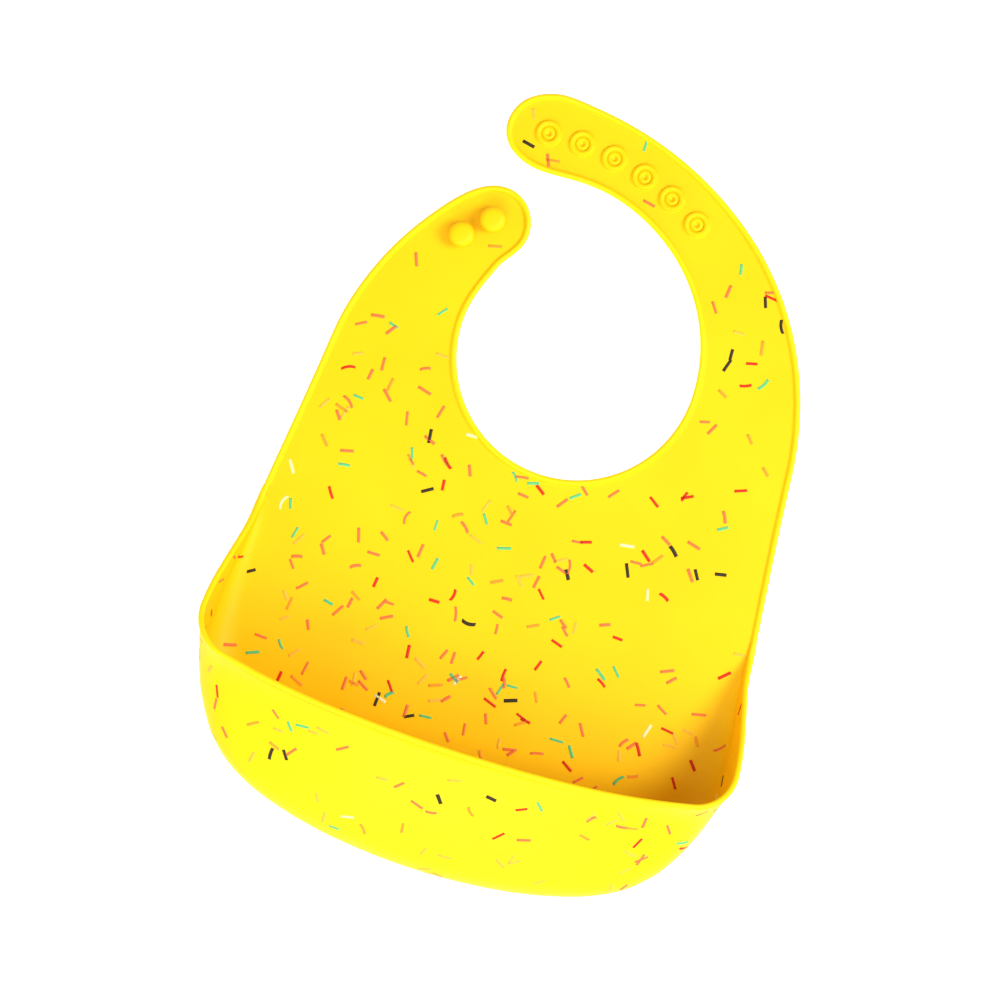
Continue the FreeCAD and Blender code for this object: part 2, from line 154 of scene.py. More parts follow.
class Guide:
    """A line that can be asked for the point and heading at a share of its length."""

    def __init__(self, stations):
        self.points, headings = line_samples(stations, 0.5)
        self.headings = np.unwrap(headings)
        steps = np.linalg.norm(np.diff(self.points, axis=0), axis=1)
        self.at = np.concatenate([[0], np.cumsum(steps)])
        self.at /= self.at[-1]

    def point(self, share):
        return np.stack([np.interp(share, self.at, self.points[:, k]) for k in (0, 1)], -1)

    def heading(self, share):
        return np.interp(share, self.at, self.headings)


# ---------------------------------------------------------------- soft unevenness

def sag(x, y):
    """How far the soft sheet stands off a flat table, in millimetres."""
    waves = (np.sin(x / 31 + 0.7) * np.cos(y / 43 - 0.4) + 0.6 * np.sin((x + y) / 22 + 1.9)
             + 0.4 * np.cos((x - 1.7 * y) / 17))
    return 0.1 * (waves + 2.0)


def settle(points):
    """The same points with the sheet's unevenness, which fades out up the pocket's wall."""
    points = np.array(points, float)
    fade = np.clip(1 - points[:, 2] / 12, 0, 1)
    points[:, 2] += sag(points[:, 0], points[:, 1]) * fade
    return points


# ---------------------------------------------------------------- meshes

def make_mesh(name, points, faces, materials, face_materials=None):
    """A smooth-shaded piece from points measured from the neckline's centre."""
    scaled = (np.array(points, float) + [0, NECK_Y, 0]) * MM
    mesh = bpy.data.meshes.new(name)
    mesh.from_pydata([tuple(p) for p in scaled], [], [tuple(f) for f in faces])
    mesh.update()
    for material in materials:
        mesh.materials.append(material)
    if face_materials is not None:
        mesh.polygons.foreach_set("material_index", face_materials)
    tidy = bmesh.new()
    tidy.from_mesh(mesh)
    bmesh.ops.remove_doubles(tidy, verts=tidy.verts, dist=1e-6)
    bmesh.ops.recalc_face_normals(tidy, faces=tidy.faces)
    tidy.to_mesh(mesh)
    tidy.free()
    mesh.shade_smooth()
    piece = bpy.data.objects.new(name, mesh)
    bpy.context.scene.collection.objects.link(piece)
    return piece


SLIVER_AREA = 0.01                # flat triangles up to this area are left out


class Builder:
    """Collects points and faces for one piece."""

    def __init__(self):
        self.points, self.faces, self.slots, self.count = [], [], [], 0

    def add(self, points):
        start = self.count
        self.points.append(np.array(points, float))
        self.count += len(points)
        return start

    def grid(self, rows, edge_rows=range(0), below=0):
        """Quads between rows of equal length: rows is an array of shape (rows, columns, 3).
        The strips that start at edge_rows take the piece's second material, and those
        before them the first one unless below says another."""
        height, width = rows.shape[:2]
        start = self.add(rows.reshape(-1, 3))
        for i in range(height - 1):
            for j in range(width - 1):
                a = start + i * width + j
                self.faces.append((a, a + 1, a + width + 1, a + width))
                before = edge_rows and i < edge_rows.start
                self.slots.append(1 if i in edge_rows else below if before else 0)

    def fill(self, loops, height, spacing=2.5):
        """A flat triangulated area inside the first loop and outside the others."""
        outer = np.array(loops[0])
        low, high = outer.min(0), outer.max(0)
        inner = []
        for row, y in enumerate(np.arange(low[1] + spacing / 2, high[1], spacing * 0.87)):
            for x in np.arange(low[0] + (row % 2) * spacing / 2, high[0], spacing):
                inner.append((x, y))
        inner = np.array(inner)
        keep = inside(inner, loops) & (edge_distance(inner, loops) > spacing * 0.45)
        inner = inner[keep]
        coords, edges = [], []
        for loop in loops:
            start, size = len(coords), len(loop)
            coords += [tuple(p) for p in loop]
            edges += [(start + k, start + (k + 1) % size) for k in range(size)]
        coords += [tuple(p) for p in inner]
        verts, _, triangles, *_ = delaunay_2d_cdt(
            [Vector(c) for c in coords], edges, [], 0, 1e-5)
        verts = np.array([tuple(v) for v in verts])
        corners = verts[np.array(triangles)]
        sides = corners[:, 1:] - corners[:, :1]
        area = abs(sides[:, 0, 0] * sides[:, 1, 1] - sides[:, 0, 1] * sides[:, 1, 0]) / 2
        wanted = inside(corners.mean(1), loops) & (area > SLIVER_AREA)
        start = self.add(np.column_stack([verts, np.full(len(verts), height)]))
        kept = [tuple(start + k for k in t) for t, ok in zip(triangles, wanted) if ok]
        self.faces += kept
        self.slots += [0] * len(kept)

    def piece(self, name, materials):
        points = settle(np.concatenate(self.points))
        return make_mesh(name, points, self.faces, materials, self.slots)


def inside(points, loops):
    """Which points lie inside an odd number of the loops."""
    crossings = np.zeros(len(points), int)
    for loop in loops:
        loop = np.array(loop)
        for (x0, y0), (x1, y1) in zip(loop, np.roll(loop, -1, 0)):
            spans = (y0 > points[:, 1]) != (y1 > points[:, 1])
            if not spans.any():
                continue
            cross_x = x0 + (points[:, 1] - y0) * (x1 - x0) / (y1 - y0)
            crossings += spans & (points[:, 0] < cross_x)
    return crossings % 2 == 1


def edge_distance(points, loops):
    """How far each point is from the nearest stretch of the loops."""
    nearest = np.full(len(points), np.inf)
    for loop in loops:
        corners = np.array(loop)
        for start, end in zip(corners, np.roll(corners, -1, 0)):
            stretch = end - start
            share = np.clip((points - start) @ stretch / max(stretch @ stretch, 1e-12), 0, 1)
            gap = points - start - share[:, None] * stretch
            nearest = np.minimum(nearest, np.hypot(*gap.T))
    return nearest


# ---------------------------------------------------------------- the flat panel

def bead_profile():
    """The edge bead's section on the panel, from the back to the sheet: (inset, height)."""
    rows = []
    for degrees in (-90, -68, -46, -24, -2, 20, 42, 64, 86, 108, 128, 146, 160):
        turn = math.radians(degrees)
        rows.append((BEAD_HALF - BEAD_HALF * math.cos(turn),
                     BEAD_RISE + BEAD_RISE * math.sin(turn)))
    return rows + CREASE


def offset_line(points, headings, inset):
    inward = np.stack([-np.sin(headings), np.cos(headings)], 1)
    return points + inward * inset


def nearest_index(points, target, within):
    """The index, among those listed, of the point nearest to the target."""
    within = np.array(within)
    return int(within[np.argmin(np.hypot(*(points[within] - target).T))])


def straight(start, end, spacing=3.0):
    """Points between two ends, without the ends."""
    count = max(1, round(float(np.linalg.norm(end - start)) / spacing))
    return [start + (end - start) * k / count for k in range(1, count)]


def panel_line():
    """The panel's outline from the right pocket cut round to the left one. Its two ends
    head straight up and down, so that the bead's section lies along the cut there."""
    points, headings = line_samples(PANEL, 1.4)
    keep = points[:, 1] > POCKET_CUT + 0.3
    first, last = np.argmax(keep), len(keep) - 1 - np.argmax(keep[::-1])
    ends = []
    for inner, outer in ((first, first - 1), (last, last + 1)):
        share = (POCKET_CUT - points[outer, 1]) / (points[inner, 1] - points[outer, 1])
        ends.append(points[outer] + share * (points[inner] - points[outer]))
    body = slice(first, last + 1)
    points = np.concatenate([ends[0][None], points[body], ends[1][None]])
    headings = np.concatenate([[math.pi / 2], headings[body], [-math.pi / 2]])
    return points, headings


def cut_indices(points):
    """Where each cut across the panel meets the outline."""
    count = len(points)
    neck_bottom = int(np.argmin(np.hypot(points[:, 0], points[:, 1] - RING_Y + NECK_RADIUS)))
    right_outer = range(0, neck_bottom // 3)
    right_inner = range(neck_bottom - neck_bottom // 3, neck_bottom)
    left_inner = range(neck_bottom, neck_bottom + 80)
    left_outer = range(count - 100, count)
    neck_x = math.sqrt(NECK_RADIUS ** 2 - (CHEST_CUT - RING_Y) ** 2)
    return {
        "right_outer": nearest_index(points, (97.4, CHEST_CUT), right_outer),
        "right_inner": nearest_index(points, (neck_x, CHEST_CUT), right_inner),
        "left_inner": nearest_index(points, (-neck_x, CHEST_CUT), left_inner),
        "left_outer": nearest_index(points, (-97.2, CHEST_CUT), left_outer),
        "long_outer": nearest_index(points, LONG_CUT[0], range(0, neck_bottom)),
        "long_inner": nearest_index(points, LONG_CUT[1], right_inner),
    }


def flat_piece(name, runs, sockets, materials):
    """A piece of panel between cuts. runs are index ranges of the outline, in order; the
    piece's edge follows each run and goes straight from one run's end to the next's start."""
    points, headings = OUTLINE
    profile = bead_profile()
    builder = Builder()
    loops = {0.0: [], SHEET: []}
    for number, (first, last) in enumerate(runs):
        span = slice(first, last + 1)
        rows = []
        for inset, height in profile:
            line = offset_line(points[span], headings[span], inset)
            rows.append(np.column_stack([line, np.full(len(line), height)]))
        builder.grid(np.array(rows), range(len(profile) - len(CREASE)))
        next_first = runs[(number + 1) % len(runs)][0]
        for height, inset in ((0.0, profile[0][0]), (SHEET, profile[-1][0])):
            line = offset_line(points[span], headings[span], inset)
            onward = offset_line(points[next_first:next_first + 1],
                                 headings[next_first:next_first + 1], inset)[0]
            loops[height] += [*line, *straight(line[-1], onward)]
    for height, loop in loops.items():
        holes = [circle(centre, SOCKET_SEAT) for centre in sockets]
        builder.fill([loop, *holes], height)
    return builder.piece(name, materials)


def circle(centre, radius, count=32):
    turns = np.arange(count) * 2 * math.pi / count
    return np.stack([centre[0] + radius * np.cos(turns), centre[1] + radius * np.sin(turns)], 1)


OUTLINE = panel_line()
SOCKET_SEAT = 3.6


# ---------------------------------------------------------------- the pocket

FOLD, BELLY, RIM = Guide(POCKET_FOLD), Guide(POCKET_BELLY), Guide(POCKET_RIM)
AROUND = 221                      # sections of the pocket's wall, edge to edge
FINE = 61                         # points along the middle of each section, before trimming
UP = 32                           # points on each skin of a section


def smooth(value):
    value = np.clip(value, 0, 1)
    return value * value * (3 - 2 * value)


def rim_climb(y):
    """How far the rim has risen above the panel's edge bead."""
    past = RIM_START - y
    return RIM_SLOPE * (np.hypot(past, RIM_EASE) + past) / 2


def rim_freedom(share):
    """0 where the bead still lies on the panel, 1 where it stands free as the rim."""
    return float(smooth(share / 0.12))


def rim_radius(share):
    """Half the bead's height, which slims as it leaves the panel."""
    return BEAD_RISE + (RIM_HALF - BEAD_RISE) * rim_freedom(share)


def rim_middle(share):
    plan = RIM.point(share)
    return np.array([plan[0], plan[1], rim_radius(share) + rim_climb(plan[1])])


def wall_middle(share, rise):
    """A point on the middle of the wall, right half: share from the panel's edge to the
    middle of the front, rise from the flat back (0) by the widest line (0.5) to the rim (1)."""
    rim = rim_middle(share)
    free = rim_freedom(share)
    end = rim - np.array([0, 0, (rim_radius(share) - SHEET / 2) * (1 - free)])
    fold, belly = FOLD.point(share), BELLY.point(share)
    base = SHEET / 2
    height = BELLY_HEIGHT * math.tanh(rim_climb(rim[1]) / (2 * BELLY_HEIGHT))
    height = max(height, base)
    if rise <= 0.5:
        turn = math.pi * rise
        plan = fold + (belly - fold) * math.sin(turn)
        return np.array([*plan, base + (height - base) * (1 - math.cos(turn))])
    heading = BELLY.heading(share)
    outward = np.array([-math.sin(heading), math.cos(heading), 0])
    front = float(smooth((share - 0.15) / 0.7))
    slope = math.radians(WALL_ANGLE_SIDE + (WALL_ANGLE_FRONT - WALL_ANGLE_SIDE) * front)
    down_wall = outward * math.cos(slope) - np.array([0, 0, math.sin(slope)])
    clear = max(end[2] - height, 0)
    b0 = np.array([*belly, height])
    b1 = b0 + np.array([0, 0, clear * (0.35 - 0.05 * front)])
    b2 = end + down_wall * (clear * (0.35 + 0.55 * front))
    t = 2 * rise - 1
    return (b0 * (1 - t) ** 3 + b1 * 3 * t * (1 - t) ** 2 + b2 * 3 * t * t * (1 - t)
            + end * t ** 3)


def normalised(vectors):
    return vectors / np.linalg.norm(vectors, axis=-1, keepdims=True)


def wall_grids():
    """Both skins of the wall and its rim bead, as arrays (section, point, 3)."""
    shares = np.linspace(0, 2, AROUND)
    middle = np.zeros((AROUND, FINE, 3))
    rims = np.zeros((AROUND, 3))
    for i, share in enumerate(shares):
        near = min(share, 2 - share)
        side = 1 if share <= 1 else -1
        for j, rise in enumerate(np.linspace(0, 1, FINE)):
            middle[i, j] = wall_middle(near, rise) * [side, 1, 1]
        rims[i] = rim_middle(near) * [side, 1, 1]
    along = np.gradient(middle, axis=0)
    up = np.gradient(middle, axis=1)
    inward = normalised(np.cross(along, up))
    outer, inner, bead = [], [], []
    for i, share in enumerate(shares):
        free = rim_freedom(min(share, 2 - share))
        steps = np.linalg.norm(np.diff(middle[i], axis=0), axis=1)
        run = np.concatenate([[0], np.cumsum(steps)])
        tip_direction = normalised(middle[i, -1] - middle[i, -3])
        tip_inward = inward[i, -2]
        for skin, side, trim in ((outer, -1, 0.98 * free), (inner, 1, 1.45 - 0.5 * free)):
            at = np.linspace(0, run[-1] - trim, UP)
            place = np.stack([np.interp(at, run, middle[i, :, k]) for k in range(3)], 1)
            facing = np.stack([np.interp(at, run, inward[i, :, k]) for k in range(3)], 1)
            skin.append(place + normalised(facing) * (side * SHEET / 2))
        half = BEAD_HALF + (RIM_HALF - BEAD_HALF) * free
        rise = rim_radius(min(share, 2 - share))
        turns = np.radians(np.linspace(-90 - 60 * free, 165 - 15 * free, 15))
        bead.append(rims[i] + np.outer(np.cos(turns) * half, tip_direction)
                    + np.outer(np.sin(turns) * rise, tip_inward))
    return np.array(outer), np.array(inner), np.array(bead)


OUTER_SKIN, INNER_SKIN, RIM_BEAD = wall_grids()


def pocket_piece(name, materials):
    builder = Builder()
    sections = np.concatenate([OUTER_SKIN, RIM_BEAD, INNER_SKIN[:, ::-1]], 1)
    bead_rows = range(UP, UP + RIM_BEAD.shape[1] - 1)
    # The outer skin takes the third material, which is lightened as painted light for the lit
    # front wall.
    builder.grid(sections.transpose(1, 0, 2), bead_rows, below=2)
    for skin, height in ((OUTER_SKIN, 0.0), (INNER_SKIN, SHEET)):
        fold = skin[:, 0, :2]
        builder.fill([[*fold, *straight(fold[-1], fold[0])]], height)
    return builder.piece(name, materials)


# ---------------------------------------------------------------- turned pieces

def turned_piece(name, centre, profile, materials, count=48):
    """A piece turned about an upright axis, from a list of (radius, height)."""
    turns = np.arange(count + 1) * 2 * math.pi / count
    rows = []
    for radius, height in profile:
        rows.append(np.column_stack([centre[0] + radius * np.cos(turns),
                                     centre[1] + radius * np.sin(turns),
                                     np.full(count + 1, height)]))
    builder = Builder()
    builder.grid(np.array(rows))
    lift = float(sag(*centre))
    points = np.concatenate(builder.points)
    points[:, 2] += lift
    return make_mesh(name, points, builder.faces, materials)


def node_centre(node):
    """Middle of a CAD node, measured from the neckline's centre, in millimetres."""
    low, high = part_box(node)
    middle = (low + high) / 2 / MM
    return float(middle.x), float(middle.y) - NECK_Y


def node_top(node):
    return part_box(node)[1].z / MM


def rounded(start, control, end, count):
    """Points on the curve from start to end that is pulled towards control."""
    points = []
    for k in range(count + 1):
        t = k / count
        points.append(tuple((1 - t) ** 2 * a + 2 * t * (1 - t) * b + t * t * c
                            for a, b, c in zip(start, control, end)))
    return points


STUD_NECK_RADIUS = 2.3
STUD_NECK_HEIGHT = 2.2
STUD_WAIST_RISE = 1.75            # the widest line of the head, above its underside
STUD_HEAD_RADIUS = 5.2


def stud_pieces(number, materials):
    """A stud's neck, flared where it grows out of the sheet, and its round head."""
    centre = node_centre(f"stud_head_{number}")
    head_low, head_high = SHEET + STUD_NECK_HEIGHT, node_top(f"stud_head_{number}")
    neck_profile = rounded((3.5, SHEET - 0.1), (2.35, SHEET + 0.05),
                           (STUD_NECK_RADIUS, SHEET + 1.2), 6)
    neck_profile += [(STUD_NECK_RADIUS, head_low + 0.3)]
    neck = turned_piece(f"stud_{number}_neck", centre, neck_profile, materials)
    waist = head_low + STUD_WAIST_RISE
    head_profile = [(0.01, head_low + 0.15), (2.2, head_low + 0.1)]
    head_profile += rounded((2.6, head_low), (5.1, head_low + 0.1), (STUD_HEAD_RADIUS, waist), 7)
    head_profile += rounded((STUD_HEAD_RADIUS, waist), (5.15, head_high - 0.35),
                            (2.3, head_high - 0.1), 9)[1:]
    head_profile += rounded((2.3, head_high - 0.1), (1.2, head_high), (0.01, head_high), 3)[1:]
    head = turned_piece(f"stud_{number}_head", centre, head_profile, materials)
    return neck, head


def socket_piece(number, materials):
    """A socket: a rounded ring round a sunk collar, its hole pinched nearly shut."""
    centre = node_centre(f"socket_{number}")
    top = node_top(f"socket_{number}")
    profile = rounded((5.6, SHEET - 0.05), (5.12, SHEET + 0.02), (5.05, SHEET + 0.6), 4)
    profile += rounded((5.05, SHEET + 0.6), (4.95, top), (4.3, top), 5)[1:]
    profile += rounded((4.3, top), (3.15, top), (3.0, SHEET + 0.55), 6)[1:]
    profile += rounded((3.0, SHEET + 0.55), (2.95, SHEET + 0.02), (2.75, SHEET), 3)[1:]
    profile += rounded((2.75, SHEET), (2.55, SHEET + 0.65), (1.75, SHEET + 0.65), 5)[1:]
    profile += rounded((1.75, SHEET + 0.65), (1.0, SHEET + 0.6), (0.8, SHEET - 0.2), 5)[1:]
    profile += rounded((0.8, SHEET - 0.2), (0.12, SHEET * 0.7), (0.08, SHEET / 2), 4)[1:]
    profile += rounded((0.08, SHEET / 2), (0.12, SHEET * 0.3), (0.8, 0.0), 4)[1:]
    profile += [(3.55, 0.0), (3.8, 0.12)]
    return turned_piece(f"socket_ring_{number}", centre, profile, materials)


# ---------------------------------------------------------------- chips in the silicone

CHIP_LENGTH = 5.2
CHIP_WIDTH = 1.2
CHIP_ALONG = (-0.5, -0.49, -0.3, -0.1, 0.1, 0.3, 0.49, 0.5)
CHIP_ACROSS = (-0.5, -0.45, 0.45, 0.5)
CHIP_PROUD = 0.09
CHIP_SUNK = -0.08
FRONT_CHIPS, BACK_CHIPS = 285, 150
POCKET_INSIDE_CHIPS, POCKET_OUTSIDE_CHIPS, POCKET_UNDER_CHIPS = 55, 100, 16
CURVED_SHARE = 0.3
EDGE_CLEAR = 3.6                  # kept free of chips along the edge bead
SOCKET_CLEAR = 8.2                # round the middle of a socket
STUD_CLEAR = 8.0                  # of a stud
CUT_CLEAR = 2.0                   # and of the line where the pocket piece begins
SCATTER_X = (-100, 100)
SCATTER_Y = (-190, 95)

CORAL, RED, ORANGE, PEACH, BLACK, TEAL, CREAM = range(7)    # in the order of CHIP_COLOURS
BRIGHT_COLOURS = (CORAL, RED, ORANGE, BLACK, TEAL, CREAM)
BRIGHT_WEIGHTS = (48, 16, 12, 9, 13, 5)


def chip_colour(rng, faded_share):
    """The index of a chip's colour in CHIP_COLOURS. Peach stands for a chip that lies deeper
    in the silicone and shows only faintly."""
    if rng.random() < faded_share:
        return PEACH
    return rng.choices(BRIGHT_COLOURS, BRIGHT_WEIGHTS)[0]


class Chips:
    """Short flecks that follow a surface. The surface is a function from a step away from the
    chip's middle to the point there and the direction out of the surface."""

    def __init__(self):
        self.points, self.faces, self.slots, self.count = [], [], [], 0

    def add(self, surface, colour, rng):
        length = CHIP_LENGTH * rng.uniform(0.8, 1.15)
        width = CHIP_WIDTH * rng.uniform(0.85, 1.15) * (1.25 if colour == BLACK else 1)
        bend = rng.gauss(0, 0.045) if rng.random() < CURVED_SHARE else 0
        turn = rng.uniform(0, math.pi)
        along = np.array([math.cos(turn), math.sin(turn)])
        across = np.array([-along[1], along[0]])
        start = self.count
        for i, a in enumerate(CHIP_ALONG):
            for j, b in enumerate(CHIP_ACROSS):
                s = a * length
                t = b * width + bend * (s * s - length * length / 12)
                place, outward = surface(along * s + across * t)
                edge = i in (0, len(CHIP_ALONG) - 1) or j in (0, len(CHIP_ACROSS) - 1)
                self.points.append(place + outward * (CHIP_SUNK if edge else CHIP_PROUD))
                self.count += 1
        width_points = len(CHIP_ACROSS)
        for i in range(len(CHIP_ALONG) - 1):
            for j in range(width_points - 1):
                a = start + i * width_points + j
                self.faces.append((a, a + 1, a + width_points + 1, a + width_points))
                self.slots.append(colour)

    def piece(self, name, materials):
        return make_mesh(name, self.points, self.faces, materials, self.slots)


def flat_surface(x, y, height, outward):
    """The sheet's front or back face round a point."""
    def place(step):
        point = np.array([x + step[0], y + step[1]])
        return np.array([*point, height + sag(*point)]), np.array([0, 0, outward])
    return place


def skin_surface(skin, section, point, facing):
    """One skin of the pocket's wall round a grid position."""
    def at(i, j):
        i, j = min(max(i, 0), AROUND - 1.001), min(max(j, 0), UP - 1.001)
        a, b = int(i), int(j)
        u, v = i - a, j - b
        return ((1 - u) * (1 - v) * skin[a, b] + u * (1 - v) * skin[a + 1, b]
                + (1 - u) * v * skin[a, b + 1] + u * v * skin[a + 1, b + 1])

    along = (at(section + 1, point) - at(section - 1, point)) / 2
    up = (at(section, point + 1) - at(section, point - 1)) / 2
    outward = normalised(np.cross(along, up)) * facing
    up_unit = normalised(up)
    side_unit = np.cross(outward, up_unit)
    jacobian = np.array([[along @ side_unit, up @ side_unit], [along @ up_unit, up @ up_unit]])
    inverse = np.linalg.inv(jacobian)

    def place(step):
        di, dj = inverse @ np.array(step)
        place_at = at(section + di, point + dj)
        return settle([place_at])[0], outward
    return place


def scatter_flat(rng, count, accept, density, height, outward, faded):
    """Chips over the flat panel: accept says which piece a place belongs to, or None."""
    made = 0
    while made < count:
        x, y = rng.uniform(*SCATTER_X), rng.uniform(*SCATTER_Y)
        if rng.random() > density(x, y):
            continue
        piece = accept(x, y)
        if piece is None:
            continue
        CHIP_PIECES[piece].add(flat_surface(x, y, height, outward), chip_colour(rng, faded), rng)
        made += 1


def chest_density(x, y):
    """More chips down the middle and low on the chest, fewer on the straps."""
    middle = math.exp(-((x + 8) / 62) ** 2)
    low = 1 / (1 + math.exp((y + 25) / 16))
    return 0.48 + 0.72 * middle * low - 0.05 * low


def piece_at(x, y):
    """The piece whose flat sheet holds this place, clear of the beads and the fasteners."""
    place = np.array([[x, y]])
    if y < POCKET_CUT - CUT_CLEAR:
        fold = INNER_SKIN[:, 0, :2]
        return "pocket" if inside(place, [fold])[0] else None
    points, headings = OUTLINE
    if not inside(place, [points])[0]:
        return None
    if np.hypot(*(points - place).T).min() < EDGE_CLEAR:
        return None
    fasteners = [(c, SOCKET_CLEAR) for c in SOCKET_CENTRES]
    fasteners += [(c, STUD_CLEAR) for c in STUD_CENTRES]
    if any(math.hypot(x - c[0], y - c[1]) < reach for c, reach in fasteners):
        return None
    if abs(y - POCKET_CUT) < CUT_CLEAR:
        return None
    if y < CHEST_CUT:
        return "chest"
    if x < 0 and y < 60:
        return "short_strap"
    (x0, y0), (x1, y1) = LONG_CUT
    before_cut = (x1 - x0) * (y - y0) - (y1 - y0) * (x - x0) > 0
    return "long_strap_root" if before_cut and x > 0 and y < 40 else "long_strap"


SOCKET_CENTRES = [node_centre(f"socket_{number}") for number in range(1, 7)]
STUD_CENTRES = [node_centre(f"stud_head_{number}") for number in (1, 2)]
CHIP_PIECES = {name: Chips() for name in
               ("pocket", "chest", "short_strap", "long_strap_root", "long_strap")}


def scatter_pocket(rng, count, skin, facing, low, high, faded):
    """Chips on one skin of the wall, between two of its rows and clear of its ends."""
    for _ in range(count):
        section = rng.uniform(14, AROUND - 15)
        point = rng.uniform(low, high)
        CHIP_PIECES["pocket"].add(skin_surface(skin, section, point, facing),
                                  chip_colour(rng, faded), rng)


# ---------------------------------------------------------------- materials

def silicone(name, colour, roughness):
    """A material whose colour, gloss and relief vary a little over the surface."""
    material = bpy.data.materials.new(name)
    material.use_nodes = True
    nodes, links = material.node_tree.nodes, material.node_tree.links
    shader = nodes["Principled BSDF"]
    shader.inputs["Specular IOR Level"].default_value = 0.14
    place = nodes.new("ShaderNodeTexCoord")

    def noise(size, detail):
        node = nodes.new("ShaderNodeTexNoise")
        node.inputs["Scale"].default_value = size
        node.inputs["Detail"].default_value = detail
        links.new(place.outputs["Object"], node.inputs["Vector"])
        return node

    def ramp(source, low, high):
        node = nodes.new("ShaderNodeMapRange")
        node.inputs["From Min"].default_value = 0.3
        node.inputs["From Max"].default_value = 0.7
        node.inputs["To Min"].default_value = low
        node.inputs["To Max"].default_value = high
        links.new(source.outputs["Fac"], node.inputs["Value"])
        return node

    cloud = noise(22, 3)
    mix = nodes.new("ShaderNodeMix")
    mix.data_type = "RGBA"
    deeper = (colour[0] * 0.97, colour[1] * 0.93, colour[2] * 0.8, 1)
    mix.inputs["A"].default_value = (*colour, 1)
    mix.inputs["B"].default_value = deeper
    links.new(ramp(cloud, 0, 1).outputs["Result"], mix.inputs["Factor"])
    links.new(mix.outputs["Result"], shader.inputs["Base Color"])
    links.new(ramp(noise(160, 4), roughness - 0.05, roughness + 0.05).outputs["Result"],
              shader.inputs["Roughness"])
    grain = nodes.new("ShaderNodeBump")
    grain.inputs["Strength"].default_value = 0.12
    grain.inputs["Distance"].default_value = 0.00012
    links.new(noise(1400, 2).outputs["Fac"], grain.inputs["Height"])
    links.new(grain.outputs["Normal"], shader.inputs["Normal"])
    return material


sheet_silicone = silicone("silicone_sheet", (0.97, 0.60, 0.004), 0.5)
# The edge bead's copy of the silicone is lighter than the sheet's: painted light, for the bead's
# brighter lit curve.
edge_painted_light_silicone = silicone("silicone_edge_painted_light", (0.98, 0.70, 0.006), 0.42)
# The pocket's outer skin gets a lighter copy of the silicone: painted light, for the front wall
# that faces the lamps.
pocket_outside_painted_light_silicone = silicone("silicone_pocket_painted_light", (0.98, 0.69, 0.006), 0.46)
fastener_silicone = silicone("silicone_fasteners", (0.97, 0.63, 0.003), 0.45)

CHIP_COLOURS = {
    "coral": (0.86, 0.20, 0.06),
    "red": (0.70, 0.035, 0.012),
    "orange": (0.92, 0.34, 0.03),
    "peach": (0.94, 0.52, 0.06),
    "black": (0.035, 0.035, 0.015),
    "teal": (0.12, 0.58, 0.22),
    "cream": (0.92, 0.86, 0.48),
}
chip_materials = [silicone(f"chip_{name}", colour, 0.5)
                  for name, colour in CHIP_COLOURS.items()]


# ---------------------------------------------------------------- the bib's pieces

cuts = cut_indices(OUTLINE[0])
last_point = len(OUTLINE[0]) - 1
panel_silicones = [sheet_silicone, edge_painted_light_silicone]

pocket = pocket_piece("pocket", [*panel_silicones, pocket_outside_painted_light_silicone])
chest = flat_piece("chest", [(0, cuts["right_outer"]), (cuts["right_inner"], cuts["left_inner"]),
                             (cuts["left_outer"], last_point)],
                   [], panel_silicones)
short_strap = flat_piece("short_strap", [(cuts["left_inner"], cuts["left_outer"])], [],
                         panel_silicones)
long_strap_root = flat_piece("long_strap_root", [(cuts["right_outer"], cuts["long_outer"]),
                                                 (cuts["long_inner"], cuts["right_inner"])],
                             [], panel_silicones)
long_strap = flat_piece("long_strap", [(cuts["long_outer"], cuts["long_inner"])],
                        SOCKET_CENTRES, panel_silicones)

rng = random.Random(20)
scatter_flat(rng, FRONT_CHIPS, piece_at, chest_density, SHEET, 1, 0.12)
scatter_flat(rng, BACK_CHIPS, piece_at, chest_density, 0.0, -1, 0.3)
scatter_pocket(rng, POCKET_INSIDE_CHIPS, INNER_SKIN, 1, 3, UP - 5, 0.2)
scatter_pocket(rng, POCKET_OUTSIDE_CHIPS, OUTER_SKIN, -1, 12, UP - 4, 0.35)
scatter_pocket(rng, POCKET_UNDER_CHIPS, OUTER_SKIN, -1, 3, 12, 0.4)

REGIONS = {
    "pocket": ("lower_panel", "catcher"),
    "chest": ("lower_panel", "upper_panel"),
    "short_strap": ("upper_panel", "short_strap"),
    "long_strap_root": ("upper_panel", "long_strap"),
    "long_strap": ("long_strap", "long_strap_tip"),
}


sheets = {"pocket": pocket, "chest": chest, "short_strap": short_strap,
          "long_strap_root": long_strap_root, "long_strap": long_strap}
for name, (first_body, second_body) in REGIONS.items():
    chips = CHIP_PIECES[name].piece(f"{name}_chips", chip_materials)
    for piece in (sheets[name], chips):
        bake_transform(piece)

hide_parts("lower_sheet", "left_side_wall", "right_side_wall", "pocket_floor_roll",
            "pocket_front", "left_rim_bead", "front_rim_bead", "right_rim_bead")
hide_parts("chest_fold_strip", "chest_sheet", "chest_left_edge_bead",
            "chest_right_edge_bead", "chest_neck_bead")
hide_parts("short_strap_root_strip", "short_strap_sheet", "short_strap_edge_bead")
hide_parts("long_strap_root_strip", "long_strap_outer_edge_bead",
            "long_strap_neck_bead", "long_strap_sheet")
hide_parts("long_strap_curl_strip", "long_strap_tip_sheet",
            "long_strap_tip_edge_bead")

for number in (1, 2):
    neck, head = stud_pieces(number, [fastener_silicone])
    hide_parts(f"stud_post_{number}")
    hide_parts(f"stud_head_{number}")
    for piece in (neck, head):
        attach(piece, "short_strap")
for number in range(1, 7):
    ring = socket_piece(number, [fastener_silicone])
    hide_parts(f"socket_{number}")
    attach(ring, "long_strap_tip")


# ---------------------------------------------------------------- floor, light, camera

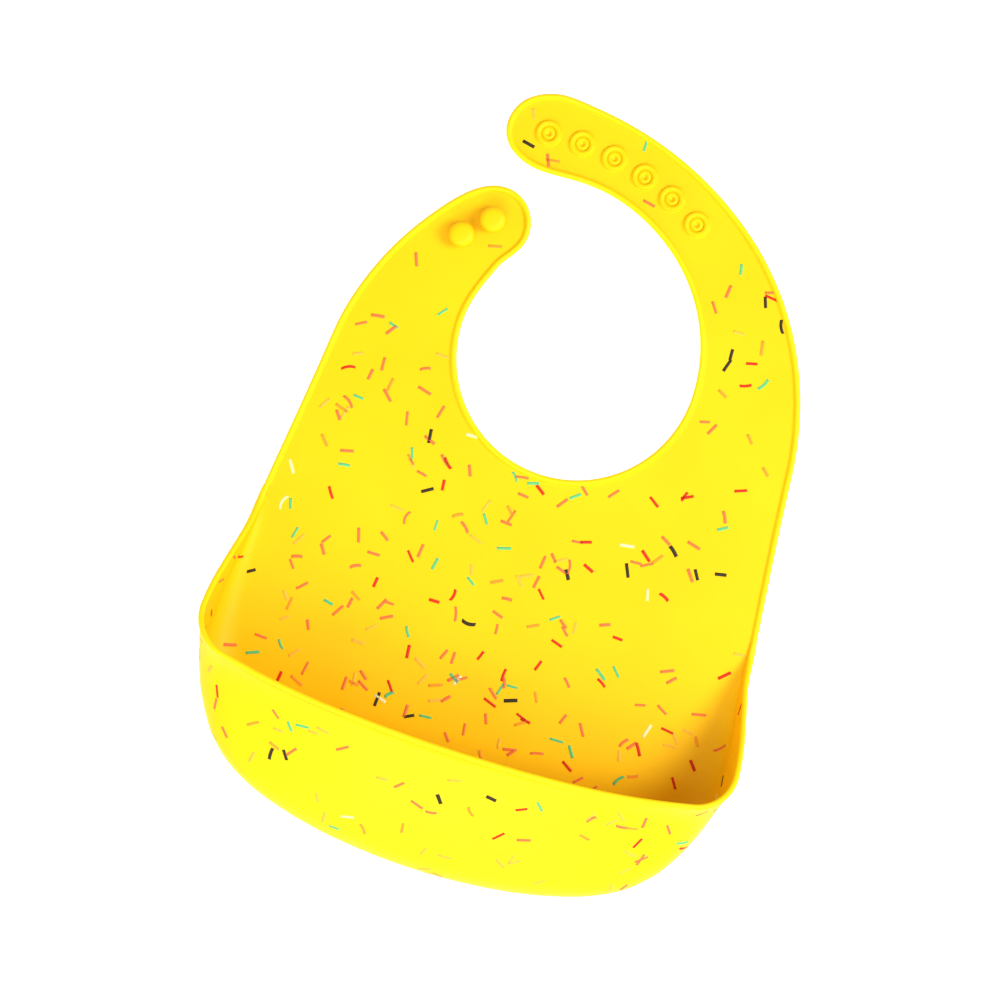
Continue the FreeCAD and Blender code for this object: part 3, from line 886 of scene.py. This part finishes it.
CAMERA_HEIGHT = 0.9
VIEW_WIDTH = 0.4                  # width of floor that the camera takes in
LEAN = math.radians(18)           # the bib lies turned clockwise as the camera sees it
LOOK_AT = np.array([-0.0118, (NECK_Y - 64.8) * MM, 0.0])
FLOOR_Z = -0.19                   # clear of the straps when the chest folds right back

right = np.array([math.cos(LEAN), math.sin(LEAN), 0])
down = np.array([math.sin(LEAN), -math.cos(LEAN), 0])

floor_material = bpy.data.materials.new("pale_floor")
floor_material.use_nodes = True
floor_shader = floor_material.node_tree.nodes["Principled BSDF"]
floor_shader.inputs["Base Color"].default_value = (0.97, 0.97, 0.97, 1)
floor_shader.inputs["Roughness"].default_value = 0.9
floor_shader.inputs["Emission Color"].default_value = (1, 1, 1, 1)
floor_shader.inputs["Emission Strength"].default_value = 0.3
bpy.ops.mesh.primitive_plane_add(size=8, location=(0, 0, FLOOR_Z))
floor = bpy.context.object
floor.name = "floor"
floor.data.materials.append(floor_material)


def area_light(name, place, size, watts, colour=(1, 1, 1)):
    light = bpy.data.lights.new(name, "AREA")
    light.shape = "SQUARE"
    light.size = size
    light.energy = watts
    light.color = colour
    lamp = bpy.data.objects.new(name, light)
    lamp.location = place
    lamp.rotation_euler = (Vector(LOOK_AT) - Vector(place)).to_track_quat("-Z", "Y").to_euler()
    bpy.context.scene.collection.objects.link(lamp)
    return lamp


area_light("key", LOOK_AT + right * 1.2 + down * 0.1 + np.array([0, 0, 1.25]), 0.75, 24)
area_light("low_fill", LOOK_AT + down * 1.0 - right * 0.2 + np.array([0, 0, 0.8]), 1.0, 7)
area_light("overhead", LOOK_AT + down * 0.6 + np.array([0, 0, 1.2]), 1.2, 7.5)
area_light("warm_side", LOOK_AT - right * 0.9 + np.array([0, 0, 0.25]), 0.5, 4, (1, 0.6, 0.15))

world = bpy.data.worlds.new("studio")
world.use_nodes = True
world.node_tree.nodes["Background"].inputs["Color"].default_value = (1, 1, 1, 1)
world.node_tree.nodes["Background"].inputs["Strength"].default_value = 0.4
bpy.context.scene.world = world
bpy.context.scene.view_settings.view_transform = "Standard"
bpy.context.scene.view_settings.look = "None"

camera_data = bpy.data.cameras.new("camera")
camera_data.sensor_width = 36
camera_data.lens = camera_data.sensor_width * CAMERA_HEIGHT / VIEW_WIDTH
camera = bpy.data.objects.new("camera", camera_data)
camera.location = LOOK_AT + np.array([0, 0, CAMERA_HEIGHT])
camera.rotation_euler = (0, 0, LEAN)
bpy.context.scene.collection.objects.link(camera)
bpy.context.scene.camera = camera
